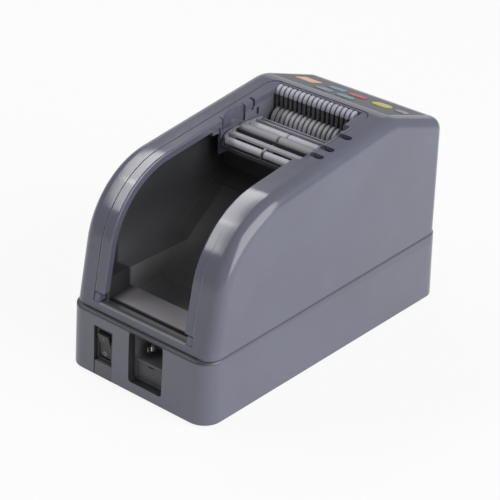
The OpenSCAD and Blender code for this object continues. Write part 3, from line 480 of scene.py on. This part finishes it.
# The mains switch: a frame of black plastic set into the rear wall, a rocker on two pivots, and
# brass blade terminals behind it. The rocker has a worn white bar above and a worn white ring below.
mark_white = (0.80, 0.80, 0.80)
mark_half = 0.0014
mark_stroke = 0.00055
ring_middle = (-0.0271, 0.0176)
bar_middle = (-0.0268, 0.0284)
ring_white = 0.45
bar_white = 0.2


def rocker_marks(place):
    """How much white is left on the ring and on the bar, as seen along Y."""
    across = place.axis("X")
    up = place.axis("Z")
    beside = across - ring_middle[0]
    above = up - ring_middle[1]
    ring = (beside * beside + above * above).root().between(mark_half - mark_stroke, mark_half)
    bar = ((across - bar_middle[0]).between(-mark_stroke / 2, mark_stroke / 2)
           * (up - bar_middle[1]).between(-mark_half, mark_half))
    return ring * ring_white + bar * bar_white


switch_black = moulded("switch_black", (0.026, 0.026, 0.029), 0.36, skin=2600, depth=0.00002)
rocker_black = moulded("rocker_black", (0.028, 0.028, 0.031), 0.40, skin=2600, depth=0.00002,
                       second=(mark_white, rocker_marks))
brass_strip = drawn_metal("brass_strip", (0.66, 0.47, 0.17), 0.30)
finished("switch_body", "switch_frame", switch_black)
finished("switch_rocker", "rocker_cap", rocker_black)
paint(nodes["switch_terminals"], brass_strip)


# The mains inlet: a black moulding set back in its window, plated pins in the socket, and a fuse
# drawer of the same plastic with a finger notch, which slides in below the socket.
# The floor and walls inside the socket are painted paler: painted light.
inlet_face = -0.1124
socket_walls = (inlet_face, inlet_face + 0.0008)
socket_painted_light = (0.190, 0.190, 0.200)


def socket_lit_mask(place):
    """1 on the floor and walls behind the inlet's face, painted paler as painted light."""
    return place.axis("Y").ramp(*socket_walls)


inlet_black = moulded("inlet_black", (0.082, 0.082, 0.090), 0.36, skin=2600, depth=0.00002,
                      second=(socket_painted_light, socket_lit_mask))
drawer_black = moulded("drawer_black", (0.076, 0.076, 0.084), 0.42)
finished("inlet_body", "inlet_moulding", inlet_black)
finished("fuse_drawer", "fuse_drawer_front", drawer_black)
paint(nodes["inlet_pins"], zinc)


# The well: one dark moulded tub with the trough inside the rear lip, the shelf, the channel for the
# roll and the stepped ramp. Painted light makes its shelf and the lower rear of the channel paler,
# a painted highlight runs along the shelf's front edge, and painted shade darkens the riser.
well_melt_scale = 30
well_skin = 1800
well_melt_tone = 0.75
well_melt_sheen = 0.15
well_skin_sheen = 0.10
well_rough = 0.36
well_bump = 0.4
well_depth = 0.00004
# The spreads and bands below place painted light on the channel and the shelf, fading out at the
# shelf's left end, a painted highlight on the shelf's front edge and painted shade on the riser.
channel_light_spread = 0.6
shelf_light_spread = 0.3
shelf_soft = 0.0003
shelf_light_soft = 0.0004
shelf_rear = -0.1039
shelf_front = -0.0868
shelf_levels = (0.0499, 0.0537)
shelf_lit_span = (-0.0320, -0.0230)
shelf_highlight_band = (shelf_front - 0.0008, shelf_front + 0.0004)
riser_band = (shelf_rear - 0.0006, shelf_rear + 0.0004)
riser_top = (0.0494, 0.0502)
trough_end = (shelf_rear - 0.0012, shelf_rear - 0.0006)
channel_rear = (-0.0880, -0.0850)
channel_half = (0.0336, 0.0340)
channel_light_top = (0.058, 0.100)
ledge_light_cut = 0.55


def uneven(cloud, spread):
    """1 on the whole, and more or less of it with the clouds of a noise."""
    return cloud * spread + (1 - spread / 2)


def tub_plastic():
    """Dark plastic with painted light, a painted highlight and painted shade, each blended over the
    one before.
    """
    material, shader, place = start_material("well_dark_plastic")
    dark = (0.042, 0.043, 0.046, 1)
    pale = (0.054, 0.055, 0.059, 1)
    trough = (0.100, 0.101, 0.106, 1)
    # painted light, paler towards the rear and the bottom of the channel
    painted_tone = (0.290, 0.290, 0.302, 1)
    # painted light on the shelf's top
    shelf_painted_light = (0.430, 0.414, 0.446, 1)
    # a painted highlight on the shelf's front edge
    edge_highlight = (0.560, 0.550, 0.570, 1)
    # painted shade on the riser under the shelf's rear edge
    shade = (0.022, 0.022, 0.024, 1)
    melt = place.noise(well_melt_scale, detail=3, rough=0.55)
    grain = place.noise(well_skin, rough=0.6)
    across, along, up = place.axes()
    level = up.between(*shelf_levels, soft=shelf_soft) * across.ramp(*shelf_lit_span)
    top = level * along.between(shelf_rear, shelf_front, soft=shelf_light_soft)
    edge = level * along.between(*shelf_highlight_band)
    riser = along.between(*riser_band) * (1 - up.ramp(*riser_top))
    behind = 1 - along.ramp(*trough_end)
    channel = 1 - across.unsigned().ramp(*channel_half) * ledge_light_cut
    deep = along.ramp(*channel_rear) * (1 - up.ramp(*channel_light_top)) * channel
    drifted = (melt * well_melt_tone + grain * (1 - well_melt_tone)).ramp(*noise_span)
    skin = behind.blend(drifted.blend(dark, pale), trough)
    channel_lit = (deep * uneven(melt, channel_light_spread)).blend(skin, painted_tone)
    shelf_lit = (top * uneven(melt, shelf_light_spread)).blend(channel_lit, shelf_painted_light)
    set_sockets(shader, {
        "Base Color": riser.blend(edge.blend(shelf_lit, edge_highlight), shade),
        "Roughness": melt * well_melt_sheen + grain * well_skin_sheen + well_rough,
        "Normal": place.bump(well_bump, well_depth, grain),
    })
    return material


finished("well_tub", "well_tub_moulding", tub_plastic())


# The feed and the cutter: side frames and guides of pressed steel, turned shafts in bronze bushes,
# moulded gears, motors with brass pinions, a roller with a rubber sleeve and one with plastic rings.
feed_finishes = (
    (drawn_metal("sheet_steel", (0.50, 0.50, 0.52), 0.40, lines=(900, 60, 900)),
     ("side_frame_left", "side_frame_right", "lower_guide", "upper_guide", "blade_bar", "exit_plate")),
    (drawn_metal("turned_steel", (0.56, 0.56, 0.58), 0.28, lines=(2600, 60, 60)),
     ("frame_spacers", "ring_roller_shaft", "drive_roller_shaft", "blade_shaft", "rotary_blade",
      "fixed_blade", "feed_motor", "cutter_motor", "guard_pins")),
    (moulded("gear_plastic", (0.70, 0.68, 0.60), 0.42, skin=1500, depth=0.00002),
     ("ring_gear", "drive_gear", "feed_gear", "cutter_gear")),
    (drawn_metal("bronze_bush", (0.55, 0.36, 0.14), 0.36, lines=(1200, 1200, 1200)), ("shaft_bushes",)),
    (moulded("ring_plastic", (0.45, 0.45, 0.48), 0.40, skin=1600), ("ring_roller_rings",)),
    (brass_strip, ("feed_pinion", "cutter_pinion")),
    (rubber_black, ("drive_roller_sleeve",)),
    (switch_black, ("exit_sensor",)),
)
for material, pieces in feed_finishes:
    for node in pieces:
        paint(nodes[node], material)


# The comb: a row of curved fingers of pale grey plastic, moulded on one bar, which keeps the tape
# down on the rings, and below it the dark straight fingers that strip the tape off them.
comb_grey = moulded("comb_plastic", (0.42, 0.415, 0.490), 0.30)
stripper_dark = moulded("stripper_plastic", (0.105, 0.105, 0.108), 0.44)
finished("comb_guard", "comb_moulding", comb_grey)
finished("stripper_fingers", "stripper_moulding", stripper_dark, edge=0.00012)


# The roller carriage: a light grey moulded frame that tips on two pivots, with three guide rollers
# of grey plastic that turn in it. Painted shade darkens its rear bar and its web, and the front and
# rear rollers are painted lighter than the middle one as painted light.
web_along = (0.0035, 0.0056)
web_half = 0.0300
rear_bar = (-0.0068, -0.0056)
carriage_painted_shade = (0.050, 0.050, 0.054)


def carriage_shade_mask(place):
    """Painted shade: 1 on the bar and plate ends behind the rear roller and on the web between the
    rollers.
    """
    across = place.axis("X")
    along = place.axis("Y")
    web = along.between(*web_along) * across.between(-web_half, web_half)
    return web.larger(1 - along.ramp(*rear_bar))


carriage_grey = moulded("carriage_plastic", (0.360, 0.354, 0.408), 0.38,
                        second=(carriage_painted_shade, carriage_shade_mask))
# The front and rear rollers take a lighter copy of the middle roller's grey: painted light.
roller_grey = moulded("roller_plastic", (0.325, 0.318, 0.355), 0.46)
lit_roller_grey = moulded("lit_roller_plastic", (0.56, 0.55, 0.62), 0.46)
finished("roller_carriage", "carriage_moulding", carriage_grey, edge=0.00015)
finished("front_guide_roller", "front_roller_turned", lit_roller_grey)
finished("middle_guide_roller", "middle_roller_turned", roller_grey)
finished("rear_guide_roller", "rear_roller_turned", lit_roller_grey)


# The cover: one grey moulding with rounded long edges, and the rim frame of the same plastic, set
# into its opening, with the rails. A painted highlight runs along an edge of the lip behind the well
# and along the rails' outer edge, and the cheeks under the rails are paler.
cover_sharp_degrees = 32
cover_rise = math.tan(math.radians(7.8))
# A painted highlight along the lip's upper edge.
lip_levels = (0.0484, 0.0495)
lip_half = 0.0345
lip_front = (-0.1112, -0.1110)
lip_highlight_colour = (0.310, 0.310, 0.335)


def lip_painted_highlight(place):
    """1 on the upper edge of the lip behind the well, where a highlight is painted."""
    across, along, up = place.axes()
    return up.between(*lip_levels) * across.between(-lip_half, lip_half) * (1 - along.ramp(*lip_front))


# A painted highlight along the rails' outer edge by the seam; the cheeks under the rails are paler.
rail_seam = (0.0386, 0.0389)
rail_highlight_top = (0.080, 0.118)
rail_highlight_share = 0.8
cheek_top = (0.1332, 0.1336)
cheek_rear = (0.0140, 0.0160)
cheek_pale_share = 0.3
rim_highlight_pale = (0.300, 0.300, 0.340)


def rim_highlight_and_cheek(place):
    """How much paler the rails' outer edge, a painted highlight, and the cheeks under the rails are."""
    across, along, up = place.axes()
    outer = across.unsigned().ramp(*rail_seam) * (1 - up.ramp(*rail_highlight_top))
    cheek = (1 - (up - along * cover_rise).ramp(*cheek_top)) * along.ramp(*cheek_rear)
    return outer * rail_highlight_share + cheek * cheek_pale_share


cover_grey = body_plastic("grey_cover_plastic", (lip_highlight_colour, lip_painted_highlight))
rim_grey = body_plastic("rim_plastic", (rim_highlight_pale, rim_highlight_and_cheek))
finished("upper_housing", "cover_moulding", cover_grey, sharp=cover_sharp_degrees)
finished("rim_frame", "rim_moulding", rim_grey, sharp=cover_sharp_degrees)


# Two feet under the lower ends of the rails, moulded on the lip, and the rolled edge of the
# right-hand rim between its slots, in the same grey. Each is a box, drawn to the slope of the cover.
def sized_box(low, high):
    """A box between two corners, left in edit mode with everything selected."""
    bpy.ops.object.select_all(action="DESELECT")
    bpy.ops.mesh.primitive_cube_add(size=1)
    bpy.ops.object.mode_set(mode="EDIT")
    bpy.ops.mesh.select_all(action="SELECT")
    bpy.ops.transform.resize(value=[b - a for a, b in zip(low, high)])
    bpy.ops.transform.translate(value=[(a + b) / 2 for a, b in zip(low, high)])
    return bpy.context.object


def pick(piece, test):
    """Selects the corners of a box that pass the test, with the edges between them."""
    bpy.ops.mesh.select_all(action="DESELECT")
    bpy.ops.object.mode_set(mode="OBJECT")
    mesh = piece.data
    for corner in mesh.vertices:
        corner.select = test(corner.co)
    for line in mesh.edges:
        line.select = all(mesh.vertices[i].select for i in line.vertices)
    bpy.ops.object.mode_set(mode="EDIT")


def joined(pieces, name, node, material):
    """One piece of the boxes, with broken edges, on the body of the node that carries it."""
    for piece in pieces:
        piece.select_set(True)
    bpy.context.view_layer.objects.active = pieces[0]
    bpy.ops.object.join()
    piece = bpy.context.object
    piece.name = name
    smoothed(piece, edge=0.0003)
    paint(piece, material)
    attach(piece, nodes[node]["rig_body"])


body_grey = body_plastic("grey_body_plastic")
foot_side = (0.0350, 0.0393)
foot_along = (-0.1121, -0.1062)
foot_up = (0.0491, 0.0544)
foot_lean = 0.0013
feet = []
for low_x, high_x in (foot_side, (-foot_side[1], -foot_side[0])):
    foot = sized_box((low_x, foot_along[0], foot_up[0]), (high_x, foot_along[1], foot_up[1]))
    pick(foot, lambda place: place.z > sum(foot_up) / 2 and place.y < sum(foot_along) / 2)
    bpy.ops.transform.translate(value=(0, foot_lean, 0))
    bpy.ops.object.mode_set(mode="OBJECT")
    feet.append(foot)
joined(feet, "rail_feet", "upper_housing", body_grey)

roll_side = (0.0358, 0.03925)
roll_round = 0.0032
roll_steps = 8
roll_deep = 0.0047
roll_runs = ((-0.0061, -0.0009), (0.0039, 0.0161), (0.0209, 0.0304))
cover_level = 0.13869
rolls = []
for rear, front in roll_runs:
    level = cover_level + rear * cover_rise
    roll = sized_box((roll_side[0], rear, level - roll_deep), (roll_side[1], front, level))
    pick(roll, lambda place: place.y > (rear + front) / 2)
    bpy.ops.transform.translate(value=(0, 0, (front - rear) * cover_rise))
    pick(roll, lambda place: place.x < sum(roll_side) / 2 and place.z > level - roll_deep / 4)
    bpy.ops.mesh.bevel(offset=roll_round, segments=roll_steps, affect="EDGES")
    bpy.ops.object.mode_set(mode="OBJECT")
    rolls.append(roll)
joined(rolls, "rim_roll", "rim_frame", body_grey)


# The key panel: a dark film in a shallow recess, an amber window over the display, and moulded
# keys that come through the film. The display, the board and the key switches are under it.
film_dark = moulded("panel_film", (0.064, 0.062, 0.082), 0.42, skin=1800, depth=0.00002)
amber = moulded("amber_window", (0.74, 0.31, 0.11), 0.16, skin=900, depth=0.00001)
finished("control_overlay", "panel_film", film_dark, edge=0.00008)
finished("display_window", "display_lens", amber, edge=0.0002)
paint(nodes["display_module"], switch_black)
paint(nodes["control_board"], lacquer_green)
paint(nodes["key_switches"], switch_black)
key_colours = {
    "key_teal_rear": (0.140, 0.250, 0.315),
    "key_teal_left": (0.145, 0.215, 0.285),
    "key_teal_right": (0.130, 0.260, 0.280),
    "key_red": (0.400, 0.062, 0.085),
    "key_yellow": (0.580, 0.545, 0.105),
    "key_pale": (0.320, 0.280, 0.380),
}
for node, colour in key_colours.items():
    finished(node, node + "_cap", moulded(node + "_plastic", colour, 0.36), edge=0.0003)


# The front guard: a plate of near-black plastic with the outlet slot and a barrel along its top,
# moulded in one piece and hinged on two steel pins above the mouth.
guard_black = moulded("guard_plastic", (0.030, 0.030, 0.032), 0.40)
finished("front_guard", "guard_moulding", guard_black)
